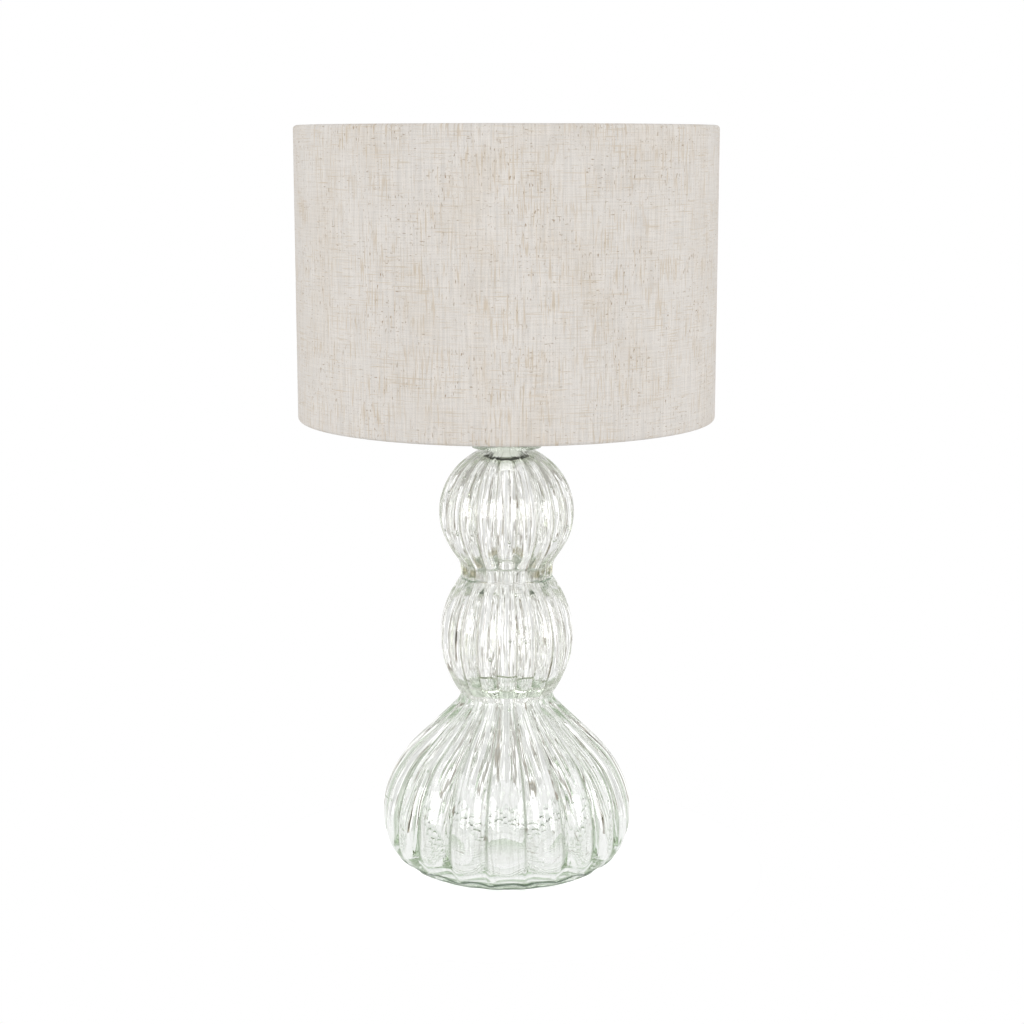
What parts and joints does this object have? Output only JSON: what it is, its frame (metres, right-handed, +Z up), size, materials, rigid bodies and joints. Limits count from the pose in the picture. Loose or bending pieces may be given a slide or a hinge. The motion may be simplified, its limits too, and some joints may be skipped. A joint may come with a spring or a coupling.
{
  "type": "table lamp",
  "caption": "Table lamp: fluted clear glass globes stacked and bonded, screw lampholder with bulb held in the glass neck, and a linen drum shade clamped by a threaded ring.",
  "frame": {"origin": "on the lamp's axis at the surface that the foot stands on", "axes": "+Z up along the lamp's axis, cord entry towards +Y, so -Y is the front"},
  "size_m": [0.35, 0.35, 0.636],
  "materials": {
    "glass_green": "clear blown glass with a faint green tint in thick places",
    "glass_clear": "clear blown glass",
    "linen": "oatmeal linen weave with brown slubs",
    "liner": "matt white shade backing",
    "white_wire": "white powder coated wire",
    "nickel": "satin nickel",
    "zinc_steel": "zinc plated steel",
    "brass": "plain brass",
    "rubber": "translucent pale rubber",
    "white_plastic": "white thermoplastic",
    "ceramic_white": "steatite insulator",
    "opal": "opal white diffuser",
    "black_insulator": "black insulator glass"
  },
  "bodies": {
    "base": {"lower_globe": "glass_green", "middle_globe": "glass_clear", "upper_globe": "glass_clear", "neck_plug": "rubber", "plug_washer": "zinc_steel", "plug_nut": "zinc_steel", "threaded_tube": "zinc_steel", "neck_cap": "nickel", "cord_entry": "nickel", "cord_gland": "white_plastic", "holder_nipple": "zinc_steel", "lampholder_cap": "white_plastic", "contact_block": "ceramic_white", "terminal_screws": "zinc_steel", "screw_shell": "brass", "centre_contact": "brass", "lampholder_skirt": "white_plastic"},
    "shade": {"shade_linen": "linen", "shade_liner": "liner", "top_ring": "white_wire", "shade_carrier": "white_wire"},
    "ring": {"shade_ring": "white_plastic"},
    "bulb_tip": {"bulb_eyelet": "zinc_steel"},
    "bulb": {"bulb_insulator": "black_insulator", "bulb_screw_cap": "zinc_steel", "bulb_housing": "white_plastic", "bulb_envelope": "opal"}
  },
  "joints": [
    {"name": "shade_turn", "type": "hinge", "parent": "base", "child": "shade", "pos_m": [0, 0, 0.41781], "axis": [0, 0, 1], "continuous": true},
    {"name": "ring_turn", "type": "hinge", "parent": "base", "child": "ring", "pos_m": [0, 0, 0.41951], "axis": [0, 0, 1], "range_deg": [0, 1080]},
    {"name": "bulb_travel", "type": "slide", "parent": "base", "child": "bulb_tip", "axis": [0, 0, 1], "range_m": [0, 0.0129]},
    {"name": "bulb_turn", "type": "hinge", "parent": "bulb_tip", "child": "bulb", "pos_m": [0, 0, 0.42391], "axis": [0, 0, 1], "range_deg": [0, 1260]}
  ],
  "couplings": [
    {"joint": "bulb_travel", "follows": "bulb_turn", "m_per_rad": 0.00057757}
  ]
}
